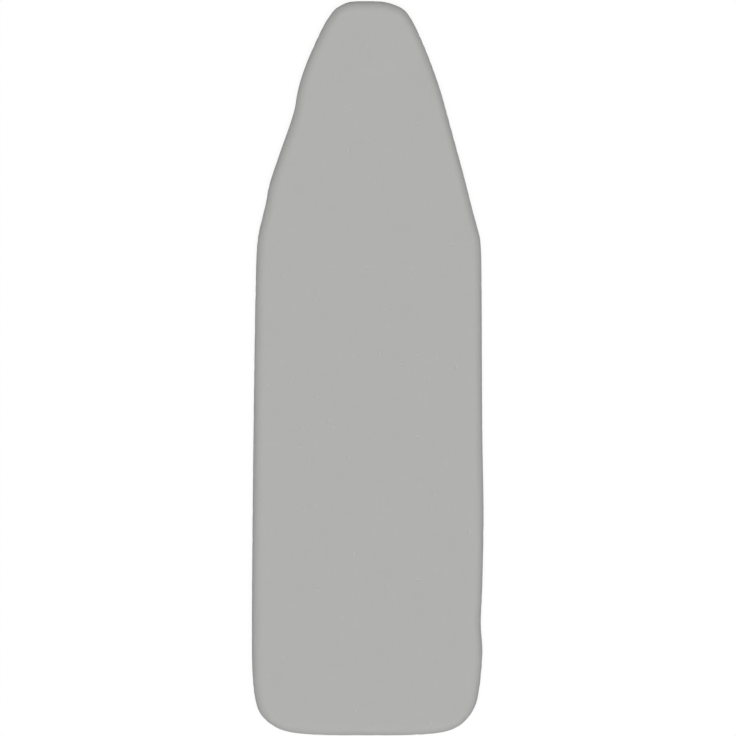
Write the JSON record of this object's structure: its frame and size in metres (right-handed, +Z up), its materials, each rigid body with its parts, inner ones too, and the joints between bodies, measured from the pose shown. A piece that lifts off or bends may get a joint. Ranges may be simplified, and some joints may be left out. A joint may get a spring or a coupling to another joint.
{
  "type": "ironing board cover",
  "caption": "Fitted grey ironing board cover with foam lining and felt pad, a drawcord hem with a spring toggle, and cross straps below.",
  "frame": {"origin": "at floor level, under the middle of the cover's length and width, as it lies ironing face up", "axes": "+Y along the cover towards its nose, +X to the right seen from above with the nose away, +Z up out of the ironing face"},
  "size_m": [0.3819, 1.21, 0.0312],
  "materials": {
    "top_cloth": "plain woven grey cotton, matte",
    "foam": "open cell foam, off white",
    "felt": "needled felt, natural",
    "binding_tape": "woven cotton tape, grey",
    "cord": "braided polyester, light grey",
    "toggle_plastic": "moulded, fine spark texture, charcoal",
    "spring_steel": "drawn spring wire",
    "elastic": "ribbed knitted elastic, charcoal",
    "hook_tape": "hook tape, black",
    "loop_tape": "brushed loop tape, black"
  },
  "bodies": {
    "cover": {"cover_fabric": "top_cloth", "foam_lining": "foam", "felt_pad": "felt", "hem_binding": "binding_tape", "drawcord": "cord", "cord_end_left": "toggle_plastic", "cord_end_right": "toggle_plastic", "nose_strap_tab": "elastic", "nose_strap_loop": "loop_tape", "shoulder_strap_tab": "elastic", "shoulder_strap_loop": "loop_tape", "tail_strap_tab": "elastic", "tail_strap_loop": "loop_tape"},
    "cord_lock": {"cord_lock_body": "toggle_plastic", "cord_lock_spring": "spring_steel"},
    "lock_plunger": {"cord_lock_plunger": "toggle_plastic"},
    "nose_strap": {"nose_strap_band": "elastic", "nose_strap_hook": "hook_tape"},
    "shoulder_strap": {"shoulder_strap_band": "elastic", "shoulder_strap_hook": "hook_tape"},
    "tail_strap": {"tail_strap_band": "elastic", "tail_strap_hook": "hook_tape"}
  },
  "joints": [
    {"name": "cord_lock_slide", "type": "slide", "parent": "cover", "child": "cord_lock", "axis": [0, 1, 0], "range_m": [0, 0.035]},
    {"name": "lock_button_press", "type": "slide", "parent": "cord_lock", "child": "lock_plunger", "axis": [-1, 0, 0], "range_m": [0, 0.0035], "stiffness_N_per_m": 300, "springref_m": -0.002, "deforming": ["cord_lock_spring"]},
    {"name": "nose_strap_peel", "type": "hinge", "parent": "cover", "child": "nose_strap", "pos_m": [-0.06246, 0.43318, 0.00185], "axis": [0.1951, 0.9808, 0], "range_deg": [0, 90]},
    {"name": "shoulder_strap_peel", "type": "hinge", "parent": "cover", "child": "shoulder_strap", "pos_m": [-0.11104, 0.26922, 0.00185], "axis": [0.1837, 0.983, 0], "range_deg": [0, 90]},
    {"name": "tail_strap_peel", "type": "hinge", "parent": "cover", "child": "tail_strap", "pos_m": [-0.13467, -0.41505, 0.00185], "axis": [-0.0001, 1, 0], "range_deg": [0, 90]}
  ]
}
